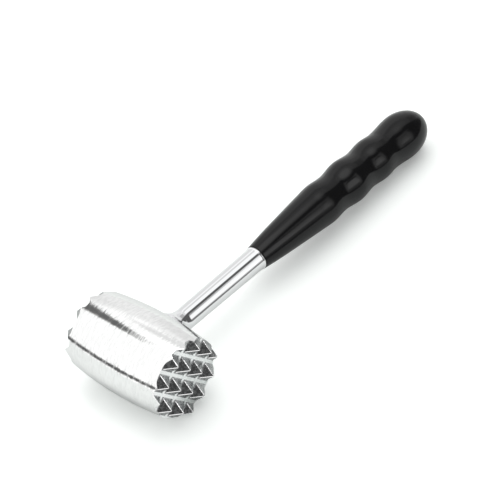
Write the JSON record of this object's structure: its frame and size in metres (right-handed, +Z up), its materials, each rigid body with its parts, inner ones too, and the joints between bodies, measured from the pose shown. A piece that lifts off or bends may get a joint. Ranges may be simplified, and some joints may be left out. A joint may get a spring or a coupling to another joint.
{
  "type": "meat mallet",
  "caption": "Meat mallet with a barrel-shaped aluminium head toothed on both faces, a polished metal neck and a waisted black plastic grip.",
  "frame": {"origin": "on the surface the mallet lies on, under the middle of its box", "axes": "+X from the head towards the end of the grip, +Y along the head from one toothed face to the other, +Z up"},
  "size_m": [0.2612, 0.0696, 0.0475],
  "materials": {
    "brushed_aluminium": "ground round the barrel with fine scratches, bright",
    "polished_neck": "mirror polished",
    "zinc_plated_rod": "zinc plated",
    "brass_insert": "machined",
    "black_grip": "smooth moulded, satin gloss"
  },
  "bodies": {
    "root": {"head": "brushed_aluminium", "neck": "polished_neck", "tie_rod": "zinc_plated_rod", "grip_insert": "brass_insert", "grip": "black_grip"}
  },
  "joints": []
}
